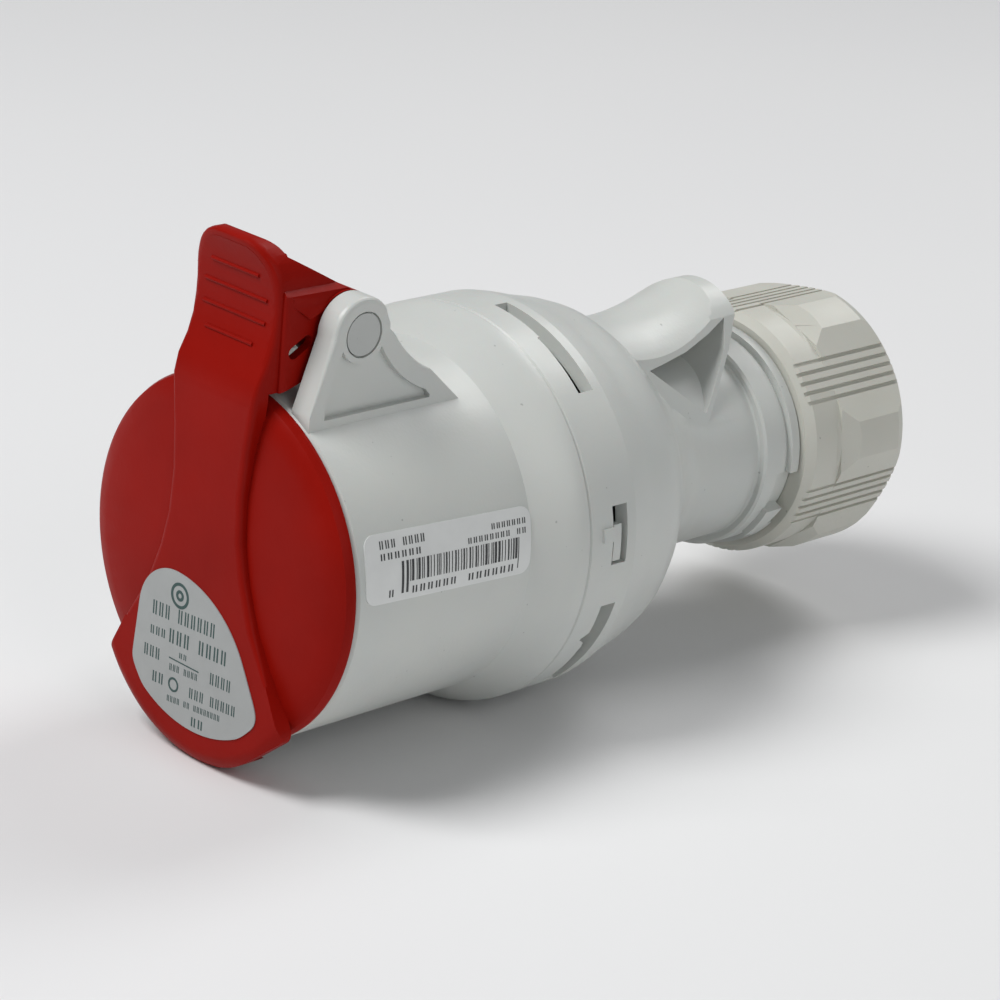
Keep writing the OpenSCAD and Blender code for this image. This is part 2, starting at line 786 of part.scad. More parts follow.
module rear_housing() {
    color([0.77, 0.78, 0.76]) {
        difference() {
            union() {
                rear_shell();
                difference() {
                    finger_rest();
                    rod(neck_bore_r + 1, ring_end + 10, neck_end);
                    rod(ring_r - 9, ring_end, ring_end + 19);
                }
                // index rib beside the latch window
                tube_sector(ring_r + 0.5, ring_r - 0.6, window_front - 2.4, window_front - 0.02, 5.4, 9.2);
            }
            // bayonet windows
            for (s = window_spans)
                tube_sector(ring_r + 1, collar_r - 1, window_front, window_back, s[0], s[1]);
            // narrower run-in of the upper window
            tube_sector(ring_r + 1, collar_r - 1, window_front + 0.5, window_back,
                window_step_span[0], window_step_span[1]);
            // latch window
            tube_sector(ring_r + 1, collar_r - 1, window_front, window_back, latch_span[0], latch_span[1]);
            // pointed mark in the edge of the lower window
            at_angle(-26.5) translate([ring_r - 4, window_front - 1.6, 0]) rotate([0, 90, 0])
                linear_extrude(8) polygon([[0, 0], [-1.3, 1.7], [1.3, 1.7]]);
            // notch in the ratchet collar
            tube_sector(ratchet_r + 1, spigot_r + 0.2, neck_flange_end - 2.6, ratchet_end + 1, -38, -4);
        }
        // pawl that clicks past the nut
        intersection() {
            tube_sector(ratchet_r + 0.2, spigot_r, neck_flange_end - 3, ratchet_end - 0.2, -46, -25.5);
            at_angle(-34) translate([10, neck_flange_end - 3, -6])
                rotate([0, 90, 0]) linear_extrude(14)
                    polygon([[-9, 0], [3, 0], [3, 1], [-9.3, 4.2]]);
        }
    }
}

// Ring of clamping fingers round the rubber seal
module clamp_cage() {
    fingers = 8;
    color([0.75, 0.75, 0.72]) difference() {
        tube(cage_r, cage_r - cage_wall, cage_y + 0.1, cage_end);
        for (i = [0:fingers - 1]) rotate([0, i * 360 / fingers, 0])
            translate([0, cage_y + 3, -0.6]) cube([cage_r + 2, 30, 1.2]);
    }
}

module cable_seal() {
    color([0.1, 0.1, 0.1]) difference() {
        rod(cage_r - cage_wall - 0.1, cage_y + 0.1, cage_end);
        rod(seal_bore_d / 2, cage_y - 1, cage_end + 1);
        // rounded mouths
        for (y = [cage_y + 0.1, cage_end]) translate([0, y, 0]) axial()
            rotate_extrude() translate([seal_bore_d / 2, 0]) circle(1);
    }
}

module thrust_washer() {
    color([0.85, 0.85, 0.83]) tube(cage_r, cable_hole_r, cage_end, cage_end + washer_t);
}

module gland_nut() {
    flat_angles = [for (i = [0:5]) nut_turn + 60 * i];
    front_r = nut_flat_r - 0.6;
    facet_y = nut_y + 8.2;
    facet_a = 24;
    color([0.77, 0.77, 0.72]) difference() {
        intersection() {
            turned([
                [0, nut_y],
                [front_r - 0.5, nut_y],
                [front_r, nut_y + 0.5],
                [nut_flat_r + 0.1, nut_y + 1.6],
                [nut_flat_r + 0.1, facet_y],
                [nut_r, facet_y],
                [nut_r, nut_end - 4.6],
                [nut_r - 0.6, nut_end - 2.8],
                [nut_r - 2, nut_end - 1.1],
                [nut_r - 4, nut_end],
                [0, nut_end]
            ]);
            // six flats
            translate([0, nut_y - 1, 0]) rotate([0, -nut_turn, 0]) rotate([-90, 0, 0]) rotate(30)
                cylinder(r = nut_flat_r / cos(30), h = nut_len + 2, $fn = 6);
        }
        // pointed facet at the front of each corner
        for (a = flat_angles) at_angle(a + 30) translate([nut_flat_r + 0.1, facet_y, 0])
            rotate([0, 0, -facet_a]) translate([0, -1, -10]) cube([6, 12, 20]);
        // grip grooves on each flat
        for (a = flat_angles) at_angle(a) for (i = [0:nut_grooves - 1])
            translate([nut_flat_r - groove_depth, nut_y + 0.9, (i - (nut_grooves - 1) / 2) * groove_pitch - groove_w / 2])
                cube([3, nut_len, groove_w]);
        // inside: room for the collar, thread, washer and cable
        rod(spigot_r + run_fit, nut_y - 1, cage_end + washer_t + gap);
        rod(cable_hole_r, nut_y, nut_end + 1);
        translate([0, nut_end, 0]) axial() rotate_extrude() translate([cable_hole_r, 0]) circle(1.6);
    }
}

front_housing();
flap_lid();
lid_gasket();
lid_label();
hinge_pin();
lid_spring();
side_sticker();
contact_carrier();
contact_retainer();
contact_l1();
contact_l2();
contact_l3();
contact_earth();
contact_clips();
terminal_screws();
housing_seal();
rear_housing();
clamp_cage();
cable_seal();
thrust_washer();
gland_nut();
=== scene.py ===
"""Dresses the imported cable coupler: finishes, softened mouldings, printed labels, camera and light."""

import logging
import random
from dataclasses import dataclass
from enum import Enum
from math import atan2, cos, degrees, dist, pi, radians, sin
from typing import Callable, Sequence

import bmesh
import bpy
from mathutils import Matrix, Vector


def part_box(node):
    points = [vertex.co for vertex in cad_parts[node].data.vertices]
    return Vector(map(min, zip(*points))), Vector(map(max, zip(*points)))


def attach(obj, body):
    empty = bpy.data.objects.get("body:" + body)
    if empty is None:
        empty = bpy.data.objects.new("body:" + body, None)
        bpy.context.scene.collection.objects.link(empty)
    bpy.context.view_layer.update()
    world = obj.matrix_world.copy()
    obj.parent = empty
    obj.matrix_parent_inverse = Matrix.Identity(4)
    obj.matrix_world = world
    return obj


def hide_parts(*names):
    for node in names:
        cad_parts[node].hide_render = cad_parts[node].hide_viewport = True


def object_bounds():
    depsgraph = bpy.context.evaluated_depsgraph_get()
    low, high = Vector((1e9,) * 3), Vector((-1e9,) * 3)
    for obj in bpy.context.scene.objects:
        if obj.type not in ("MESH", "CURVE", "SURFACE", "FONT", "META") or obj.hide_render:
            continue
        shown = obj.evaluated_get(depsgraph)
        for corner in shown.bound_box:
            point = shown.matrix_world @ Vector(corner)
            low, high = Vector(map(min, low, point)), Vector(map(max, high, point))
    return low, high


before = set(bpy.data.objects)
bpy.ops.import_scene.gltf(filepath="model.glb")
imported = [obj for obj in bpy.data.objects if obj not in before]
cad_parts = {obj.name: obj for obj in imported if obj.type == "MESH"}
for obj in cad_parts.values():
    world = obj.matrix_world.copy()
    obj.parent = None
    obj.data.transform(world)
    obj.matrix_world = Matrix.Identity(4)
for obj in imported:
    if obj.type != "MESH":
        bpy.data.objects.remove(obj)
CAD_BOX = [list(corner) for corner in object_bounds()]

MM = 0.001
MERGE_DIST = 0.000004
SLIVER_DIST = 0.000002
FLAT_ANGLE = 0.8
CREASE_ANGLE = 6
SHAVING_STEPS = 5
SHAVING_CLEAR = 0.6
RING_STEPS = 36
RING_EDGE_Y = 56.2
NEAR = 0.1
STEMS = ((0.18, 0.36), (0.58, 0.76))
LOG = logging.getLogger("coupler")

Colour = tuple[float, float, float]
Place = Callable[[float, float, float], Vector]
Socket = bpy.types.NodeSocket
Mesh = bmesh.types.BMesh


class Body(str, Enum):
    """The bodies of the part that a piece may ride on."""

    HOUSING = "housing"
    LID = "lid"
    NUT = "nut"


class Slot(str, Enum):
    """The finishes that the record names."""

    HOUSING = "housing_plastic"
    LID = "lid_plastic"
    NUT = "nut_plastic"
    PIN = "pin_plastic"
    CARRIER = "carrier_plastic"
    BRASS = "brass"
    STEEL = "steel"
    RUBBER = "rubber"
    LABEL = "label"


class Shader:
    """A small hand on a material's node tree."""

    def __init__(self, name: str) -> None:
        """Starts a new node material.

        Args:
            name: the material's name.
        """
        self.material = bpy.data.materials.new(name)
        self.material.use_nodes = True
        self.tree = self.material.node_tree
        self.surface = self.tree.nodes["Principled BSDF"]
        self.place = self.tree.nodes.new("ShaderNodeTexCoord").outputs["Object"]

    def node(self, kind: str, **values: object) -> bpy.types.Node:
        """Adds a node and sets its properties.

        Args:
            kind: the node's type.
            values: properties by name.

        Returns:
            The new node.
        """
        made = self.tree.nodes.new(kind)
        for key, value in values.items():
            setattr(made, key, value)
        return made

    def link(self, source: Socket, target: Socket) -> None:
        """Links two sockets."""
        self.tree.links.new(source, target)

    def noise(self, size: float, detail: float = 2.0, stretch: Sequence[float] = (1, 1, 1)) -> Socket:
        """Adds a noise whose features have a real size.

        Args:
            size: size of a feature in metres.
            detail: number of finer layers.
            stretch: factor on the scale along each axis.

        Returns:
            The noise's value socket.
        """
        spread = self.node("ShaderNodeMapping")
        spread.inputs["Scale"].default_value = stretch
        self.link(self.place, spread.inputs["Vector"])
        made = self.node("ShaderNodeTexNoise")
        made.inputs["Scale"].default_value = 1 / size
        made.inputs["Detail"].default_value = detail
        self.link(spread.outputs["Vector"], made.inputs["Vector"])
        return made.outputs["Fac"]

    def span(self, value: Socket, low: float, high: float, start: float = 0.3, end: float = 0.7) -> Socket:
        """Maps a value from start..end to low..high.

        Args:
            value: the socket to map.
            low: result at start.
            high: result at end.
            start: lowest value that counts.
            end: highest value that counts.

        Returns:
            The mapped socket.
        """
        made = self.node("ShaderNodeMapRange")
        made.inputs["From Min"].default_value = start
        made.inputs["From Max"].default_value = end
        made.inputs["To Min"].default_value = low
        made.inputs["To Max"].default_value = high
        self.link(value, made.inputs["Value"])
        return made.outputs["Result"]

    def blend(self, share: Socket, first: Colour | Socket, second: Colour | Socket) -> Socket:
        """Mixes two colours.

        Args:
            share: share of the second colour.
            first: colour or socket at share 0.
            second: colour or socket at share 1.

        Returns:
            The mixed colour's socket.
        """
        made = self.node("ShaderNodeMix", data_type="RGBA")
        self.link(share, made.inputs["Factor"])
        for socket, colour in ((made.inputs[6], first), (made.inputs[7], second)):
            if isinstance(colour, Socket):
                self.link(colour, socket)
            else:
                socket.default_value = (*colour, 1)
        return made.outputs[2]

    def relief(self, height: Socket, depth: float) -> None:
        """Presses a height into the surface's normal.

        Args:
            height: the height from 0 to 1.
            depth: real depth of height 1 in metres.
        """
        made = self.node("ShaderNodeBump")
        made.inputs["Distance"].default_value = depth
        made.inputs["Strength"].default_value = 1.0
        self.link(height, made.inputs["Height"])
        self.link(made.outputs["Normal"], self.surface.inputs["Normal"])

    def colour(self, value: Socket) -> None:
        """Links the base colour."""
        self.link(value, self.surface.inputs["Base Color"])

    def roughness(self, value: Socket) -> None:
        """Links the roughness."""
        self.link(value, self.surface.inputs["Roughness"])


@dataclass(frozen=True)
class Moulding:
    """Finish of a moulded plastic: faint clouds, fine texture and dust.

    Attributes:
        name: the material's name.
        colour: base colour.
        shade: colour of the faint clouds.
        roughness: middle roughness.
        grain: size of the fine texture in metres.
        depth: depth of the fine texture in metres.
        dust: share of small dark specks, from 0 to 1.
        glow: share of light that spreads below the surface.
        shine: strength of the mirror reflection.
        cloud: size of the clouds in metres.
        sheen: size of the patches of duller and shinier skin in metres.
        speck: size of a speck in metres.
        speck_shade: share of the base colour in a speck.
        spread: how far light spreads below the surface in metres.
    """

    name: str
    colour: Colour
    shade: Colour
    roughness: float = 0.42
    grain: float = 0.0006
    depth: float = 0.00002
    dust: float = 0.5
    glow: float = 0.0
    shine: float = 0.4
    cloud: float = 0.018
    sheen: float = 0.006
    speck: float = 0.0011
    speck_shade: float = 0.35
    spread: float = 0.0015

    def material(self) -> bpy.types.Material:
        """Makes the material.

        Returns:
            The node material.
        """
        s = Shader(self.name)
        clouds = s.span(s.noise(self.cloud, 3), 0, 1)
        body = s.blend(clouds, self.colour, self.shade)
        if self.dust:
            specks = s.span(s.noise(self.speck, 1), 0, self.dust, 0.79, 0.82)
            body = s.blend(specks, body, tuple(c * self.speck_shade for c in self.colour))
        s.colour(body)
        s.roughness(s.span(s.noise(self.sheen, 4), self.roughness - 0.05, self.roughness + 0.06))
        s.relief(s.noise(self.grain, 3), self.depth)
        s.surface.inputs["Subsurface Weight"].default_value = self.glow
        s.surface.inputs["Subsurface Scale"].default_value = self.spread
        s.surface.inputs["Specular IOR Level"].default_value = self.shine
        return s.material


@dataclass(frozen=True)
class TurnedMetal:
    """Finish of a turned or drawn metal.

    Attributes:
        name: the material's name.
        colour: colour of the metal.
        shade: colour of its tarnish.
        roughness: middle roughness.
        tarnish: size of the tarnish's patches in metres.
        groove: size of the fine grooves in metres.
        groove_depth: their depth in metres.
    """

    name: str
    colour: Colour
    shade: Colour
    roughness: float = 0.28
    tarnish: float = 0.003
    groove: float = 0.0004
    groove_depth: float = 0.000006

    def material(self) -> bpy.types.Material:
        """Makes the material.

        Returns:
            The node material.
        """
        s = Shader(self.name)
        s.surface.inputs["Metallic"].default_value = 1.0
        s.colour(s.blend(s.span(s.noise(self.tarnish, 4), 0, 1), self.colour, self.shade))
        rings = s.noise(self.groove, 2, (0.2, 2.5, 0.2))
        s.roughness(s.span(rings, self.roughness - 0.06, self.roughness + 0.08))
        s.relief(rings, self.groove_depth)
        return s.material


@dataclass(frozen=True)
class SoftRubber:
    """Finish of a black rubber.

    Attributes:
        name: the material's name.
        colour: colour of the rubber.
        bloom: colour of its bloom.
        patch: size of the bloom's patches in metres.
        skin: size of the duller patches in metres.
        grain: size of the fine texture in metres.
        depth: depth of the fine texture in metres.
    """

    name: str
    colour: Colour = (0.018, 0.018, 0.019)
    bloom: Colour = (0.035, 0.034, 0.033)
    patch: float = 0.002
    skin: float = 0.0008
    grain: float = 0.0003
    depth: float = 0.00002

    def material(self) -> bpy.types.Material:
        """Makes the material.

        Returns:
            The node material.
        """
        s = Shader(self.name)
        s.colour(s.blend(s.span(s.noise(self.patch, 4), 0, 1), self.colour, self.bloom))
        s.roughness(s.span(s.noise(self.skin, 3), 0.6, 0.8))
        s.relief(s.noise(self.grain, 3), self.depth)
        return s.material


@dataclass(frozen=True)
class LabelPaper:
    """Finish of a label's film or of the ink on it.

    Attributes:
        name: the material's name.
        colour: colour of the film or ink.
        roughness: middle roughness.
        patch: size of the worn patches in metres.
        skin: size of the duller patches in metres.
        grain: size of the fine texture in metres.
        depth: depth of the fine texture in metres.
    """

    name: str
    colour: Colour
    roughness: float = 0.38
    patch: float = 0.004
    skin: float = 0.002
    grain: float = 0.0012
    depth: float = 0.00001

    def material(self) -> bpy.types.Material:
        """Makes the material.

        Returns:
            The node material.
        """
        s = Shader(self.name)
        worn = tuple(c * 0.94 + 0.002 for c in self.colour)
        s.colour(s.blend(s.span(s.noise(self.patch, 4), 0, 1), self.colour, worn))
        s.roughness(s.span(s.noise(self.skin, 3), self.roughness - 0.05, self.roughness + 0.06))
        s.relief(s.noise(self.grain, 2), self.depth)
        return s.material


GREY_HOUSING = Moulding("housing_grey", (0.60, 0.615, 0.585), (0.565, 0.585, 0.565), 0.36, glow=0.05)
# The lid's red and its cloud colour carry painted shade: they are written about half as bright as the plastic's
# own red, so the lid looks shaded under any lamp; the hue is the plastic's own.
RED_LID_PAINTED_SHADE = Moulding(
    "lid_red_painted_shade", (0.30, 0.006, 0.0025), (0.25, 0.005, 0.002), 0.40,
    grain=0.0009, depth=0.000022, dust=0.0, shine=0.07,
)
WARM_NUT = Moulding("nut_grey", (0.58, 0.578, 0.52), (0.55, 0.548, 0.49), 0.40, glow=0.05)
PIN_GREY = Moulding("pin_grey", (0.50, 0.515, 0.50), (0.46, 0.475, 0.46), 0.45)
BLACK_CARRIER = Moulding("carrier_black", (0.02, 0.02, 0.022), (0.03, 0.03, 0.032), 0.45, dust=0.0)
BRASS = TurnedMetal("turned_brass", (0.80, 0.60, 0.27), (0.62, 0.42, 0.17))
STEEL = TurnedMetal("zinc_steel", (0.62, 0.63, 0.65), (0.48, 0.49, 0.51), 0.32)
RUBBER = SoftRubber("black_rubber")
FILM = LabelPaper("label_film", (0.74, 0.755, 0.745))
# The lid label's film carries painted shade: it is written about half as bright as its own colour, much as a
# shaded copy of the sticker's FILM, like the lid's red.
LID_FILM_PAINTED_SHADE = LabelPaper("lid_label_film_painted_shade", (0.385, 0.40, 0.395), 0.45)
INK = LabelPaper("label_ink", (0.035, 0.037, 0.04), 0.5)
DARK_INK = LabelPaper("label_green_ink", (0.03, 0.075, 0.07), 0.5)


def finished(mesh_object: bpy.types.Object, material: bpy.types.Material) -> None:
    """Gives every slot of an object one material.

    Args:
        mesh_object: the object.
        material: the material.
    """
    slots = mesh_object.data.materials
    if not slots:
        slots.append(material)
    for i in range(len(slots)):
        slots[i] = material


def add_piece(
    name: str,
    bm: Mesh,
    material: bpy.types.Material,
    body: Body,
    smooth: float = 35.0,
    crease: Callable[[Vector], bool] | None = None,
) -> bpy.types.Object:
    """Makes a scene object of a finished bmesh and lets it ride on a body.

    Args:
        name: the piece's name.
        bm: the mesh, which is freed.
        material: its material.
        body: the body that it rides on.
        smooth: edges sharper than this angle in degrees stay sharp.
        crease: says of an edge's middle whether the edge stays sharp at any angle.

    Returns:
        The new object.
    """
    mesh = bpy.data.meshes.new(name)
    bm.normal_update()
    for face in bm.faces:
        face.smooth = True
    for edge in bm.edges:
        if len(edge.link_faces) != 2:
            continue
        angle = edge.calc_face_angle(0)
        middle = (edge.verts[0].co + edge.verts[1].co) / 2
        if angle > radians(smooth) or (crease and angle > radians(CREASE_ANGLE) and crease(middle)):
            edge.smooth = False
    bm.to_mesh(mesh)
    bm.free()
    piece = bpy.data.objects.new(name, mesh)
    bpy.context.scene.collection.objects.link(piece)
    mesh.materials.append(material)
    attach(piece, body.value)
    LOG.info("%s: %d faces", name, len(mesh.polygons))
    return piece


@dataclass(frozen=True)
class Edging:
    """A rounding for the sharp edges of a moulding.

    Attributes:
        width: width of the rounding in metres.
        sharp: edges sharper than this angle in degrees are rounded.
        segments: number of faces across the rounding.
    """

    width: float
    sharp: float = 28.0
    segments: int = 2

    def edges(self, bm: Mesh) -> list[bmesh.types.BMEdge]:
        """Finds the edges that this rounding takes.

        Args:
            bm: the mesh.

        Returns:
            The sharp edges between two faces.
        """
        least = radians(self.sharp)
        return [edge for edge in bm.edges if len(edge.link_faces) == 2 and edge.calc_face_angle(0) >= least]


def merged(node: str) -> Mesh:
    """Copies a CAD node as one joined mesh.

    Args:
        node: the CAD node.

    Returns:
        The mesh, with its seams closed and its flat faces joined.
    """
    bm = bmesh.new()
    bm.from_mesh(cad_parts[node].data)
    bmesh.ops.remove_doubles(bm, verts=bm.verts, dist=MERGE_DIST)
    bmesh.ops.dissolve_degenerate(bm, edges=bm.edges, dist=SLIVER_DIST)
    bmesh.ops.dissolve_limit(bm, angle_limit=radians(FLAT_ANGLE), verts=bm.verts, edges=bm.edges)
    return bm


def softened(node: str, edging: Edging | None) -> Mesh:
    """Copies a CAD node and rounds its sharp edges.

    Args:
        node: the CAD node.
        edging: the rounding, or None to keep the edges.

    Returns:
        The rounded mesh.
    """
    bm = merged(node)
    if edging:
        bmesh.ops.bevel(
            bm, geom=edging.edges(bm), offset=edging.width, offset_type="OFFSET", segments=edging.segments,
            profile=0.5, affect="EDGES", clamp_overlap=True, material=-1,
        )
    return bm


@dataclass(frozen=True)
class Station:
    """One place on an edge that is to be rounded.

    Attributes:
        point: the place on the edge, in millimetres.
        inward: direction into the first face, away from the edge.
        down: direction into the second face, away from the edge.
        reach: how far the rounding goes into the first face, in millimetres.
        depth: how far it goes into the second face.
    """

    point: Vector
    inward: Vector
    down: Vector
    reach: float
    depth: float

    def section(self) -> list[Vector]:
        """Gives the outline of what is shaved off here.

        Returns:
            The outline's points in metres.
        """
        outer = [
            self.point + self.down * self.depth - self.inward * SHAVING_CLEAR,
            self.point - (self.inward + self.down) * SHAVING_CLEAR,
            self.point + self.inward * self.reach - self.down * SHAVING_CLEAR,
        ]
        curve = []
        for k in range(SHAVING_STEPS + 1):
            t = k / SHAVING_STEPS
            curve.append(self.point + self.inward * self.reach * (1 - t) ** 2 + self.down * self.depth * t**2)
        return [q * MM for q in outer + curve]


def add_shaving(bm: Mesh, stations: Sequence[Station]) -> None:
    """Adds the closed strip of material that a rounding takes off an edge.

    Args:
        bm: the mesh of all shavings.
        stations: the places along the edge in their order.
    """
    loops = [[bm.verts.new(q) for q in station.section()] for station in stations]
    count = len(loops[0])
    for here, after in zip(loops, loops[1:]):
        for i in range(count):
            j = (i + 1) % count
            bm.faces.new((here[i], here[j], after[j], after[i]))
    bm.faces.new(loops[0])
    bm.faces.new(list(reversed(loops[-1])))


def shaved(bm: Mesh, stations: Sequence[Sequence[Station]]) -> Mesh:
    """Takes the shavings of several edges off a solid.

    Args:
        bm: the solid, which is freed.
        stations: the places along each edge.

    Returns:
        The solid with its edges rounded.
    """
    knives = bmesh.new()
    for edge in stations:
        add_shaving(knives, edge)
    bmesh.ops.recalc_face_normals(knives, faces=knives.faces)
    made = []
    for name, source in (("solid", bm), ("shavings", knives)):
        mesh = bpy.data.meshes.new(name)
        source.to_mesh(mesh)
        source.free()
        made.append(bpy.data.objects.new(name, mesh))
        bpy.context.scene.collection.objects.link(made[-1])
    solid, knife = made
    cut = solid.modifiers.new("shave", "BOOLEAN")
    cut.operation = "DIFFERENCE"
    cut.solver = "EXACT"
    cut.object = knife
    result = bmesh.new()
    result.from_object(solid, bpy.context.evaluated_depsgraph_get())
    for obj in made:
        mesh = obj.data
        bpy.data.objects.remove(obj)
        bpy.data.meshes.remove(mesh)
    return result


def arc(centre: tuple[float, float], radius: float, start: float, end: float) -> list[tuple[float, float]]:
    """Gives the points of an arc.

    Args:
        centre: its middle.
        radius: its radius.
        start: angle of its first point in degrees.
        end: angle of its last point.

    Returns:
        Nine points, evenly spaced.
    """
    steps = 8
    turns = [radians(start + (end - start) * k / steps) for k in range(steps + 1)]
    return [(centre[0] + radius * cos(t), centre[1] + radius * sin(t)) for t in turns]


@dataclass
class BandEdge:
    """The edges of the lid's raised band and thumb tab, in millimetres.

    Attributes:
        front: y of the band's face.
        back: y of the tab's back.
        scoop_y: y of the deepest place of the thumb scoop.
        scoop_z: height of that place.
        scoop_r: radius of the scoop.
        top: height of the tab's top.
        half: half width of the tab.
        corner: radius of the tab's upper corners.
        low_reach: rounding of the band over the disc.
        tab_reach: rounding of the tab's front edge.
        back_reach: rounding of the tab's back edge.
        web_front: y of the front of the web behind the tab.
        web_span: heights between which the rounding stops short of the web.
        web_clear: how far it stops short.
        widening: height where the band's rounding starts to turn into the tab's,
            and the rise over which it does.
        back_low: height from which the tab's back is rounded.
        end_share: share of the reach at both ends of the front edge.
        back_shares: the same for the back edge, from each end inwards.
        slope_step: half the height over which the face's slope is measured.
    """

    front: float = -5.6
    back: float = 0.6
    scoop_y: float = -2.1
    scoop_z: float = 42.0
    scoop_r: float = 22.0
    top: float = 52.0
    half: float = 9.4
    corner: float = 7.0
    low_reach: float = 1.15
    tab_reach: float = 1.5
    back_reach: float = 1.5
    web_front: float = -1.2
    web_span: tuple[float, float] = (22, 47)
    web_clear: float = 0.1
    widening: tuple[float, float] = (26, 8)
    back_low: float = 50.3
    end_share: float = 0.4
    back_shares: tuple[float, float, float] = (0.25, 0.7, 1.0)
    slope_step: float = 0.2

    def face_y(self, z: float) -> float:
        """Gives the y of the band's face.

        Args:
            z: the height.

        Returns:
            The y there, in the scoop or on the flat.
        """
        swing = self.scoop_r**2 - (z - self.scoop_z) ** 2
        if swing <= 0:
            return self.front
        return max(self.front, self.scoop_y - self.scoop_r + swing**0.5)

    def sides(self) -> list[tuple[float, float]]:
        """Gives the right side of the outline.

        Returns:
            Its points as x and z, from above the foot to the middle of the top.
        """
        waist = [(16.5, -14.4), (12.4, -7), (9.8, 0), (8.4, 6), (8.0, 13), (8.5, 20), (9.4, 28)]
        steps = [(self.half, z) for z in (31, 34, 37, 40, 42.5)]
        centre = (self.half - self.corner, self.top - self.corner)
        return waist + steps + arc(centre, self.corner, 0, 90)

    def loop(self) -> list[tuple[float, float]]:
        """Gives the outline from one side over the top to the other."""
        right = self.sides()
        return right + [(-x, z) for x, z in reversed(right)]

    def inward(self, loop: Sequence[tuple[float, float]], i: int) -> tuple[float, float]:
        """Gives the direction into the band at a place of the outline.

        Args:
            loop: the outline's points.
            i: which of them.

        Returns:
            The direction's x and z.
        """
        x0, z0 = loop[max(i - 1, 0)]
        x1, z1 = loop[min(i + 1, len(loop) - 1)]
        along = Vector((x1 - x0, z1 - z0)).normalized()
        return -along.y, along.x

    def stations(self) -> list[list[Station]]:
        """Gives the places where the edges are rounded.

        Returns:
            The places along the front edge, and those along the tab's back edge.
        """
        front, back = [], []
        loop = self.loop()
        last = len(loop) - 1
        low, high = self.web_span
        for i, (x, z) in enumerate(loop):
            nx, nz = self.inward(loop, i)
            y = self.face_y(z)
            step = self.slope_step
            slope = (self.face_y(z + step) - self.face_y(z - step)) / (2 * step)
            share = min(1.0, max(0.0, (z - self.widening[0]) / self.widening[1]))
            reach = self.low_reach + (self.tab_reach - self.low_reach) * share
            if i in (0, last):
                reach *= self.end_share
            depth = min(reach, self.web_front - self.web_clear - y) if low < z < high else reach
            into = Vector((nx, slope * nz, nz)).normalized()
            front.append(Station(Vector((x, y, z)), into, Vector((0, 1, 0)), reach, depth))
        loop = [point for point in loop if point[1] > self.back_low]
        last = len(loop) - 1
        for i, (x, z) in enumerate(loop):
            nx, nz = self.inward(loop, i)
            reach = self.back_reach * self.back_shares[min(i, last - i, 2)]
            place = Vector((x, self.back, z))
            back.append(Station(place, Vector((nx, 0, nz)), Vector((0, -1, 0)), reach, reach))
        return [front, back]


@dataclass
class Web:
    """The web that joins the thumb tab to the hinge, in millimetres.

    Attributes:
        half: half width that its front strip is brought down to.
        front: y of its front.
        back: y where the strip ends.
        low: height of its lower end.
        high: height where it narrows to the tab's top.
        reach: rounding of its front edge across the web.
        depth: rounding along its side.
        between: heights of the places between its ends.
        end_share: share of the rounding at the upper end.
        rise: how far above its high end the strip is still brought down.
        join: distance in metres at which the strip joins the cheek.
    """

    half: float = 10.2
    front: float = -1.2
    back: float = 0.25
    low: float = 29.0
    high: float = 44.4
    reach: float = 0.75
    depth: float = 1.3
    between: tuple[float, ...] = (33.0, 37.0, 41.0, 43.8)
    end_share: float = 0.4
    rise: float = 2.0
    join: float = 0.00002

    def slim(self, bm: Mesh) -> None:
        """Brings the strip beside the tab flush with the cheek behind it.

        Args:
            bm: the lid's mesh.
        """
        sides = [face for face in bm.faces if all(abs(v.co.x) > (self.half + NEAR) * MM for v in face.verts)]
        bmesh.ops.triangulate(bm, faces=sides)
        for vert in bm.verts:
            x, y, z = vert.co / MM
            if abs(x) > self.half and y < self.back and self.low < z < self.high + self.rise:
                vert.co.x = (self.half if x > 0 else -self.half) * MM
        bmesh.ops.remove_doubles(bm, verts=bm.verts, dist=self.join)
        bmesh.ops.dissolve_degenerate(bm, edges=bm.edges, dist=SLIVER_DIST)

    def stations(self, side: int) -> list[Station]:
        """Gives the places along the web's front edge on one side.

        Args:
            side: 1 for the side at +X, -1 for the other.

        Returns:
            The places from bottom to top.
        """
        made = []
        for z in (self.low, *self.between, self.high):
            share = self.end_share if z == self.high else 1.0
            point = Vector((side * self.half, self.front, z))
            across, along = Vector((-side, 0, 0)), Vector((0, 1, 0))
            made.append(Station(point, across, along, self.reach * share, self.depth * share))
        return made


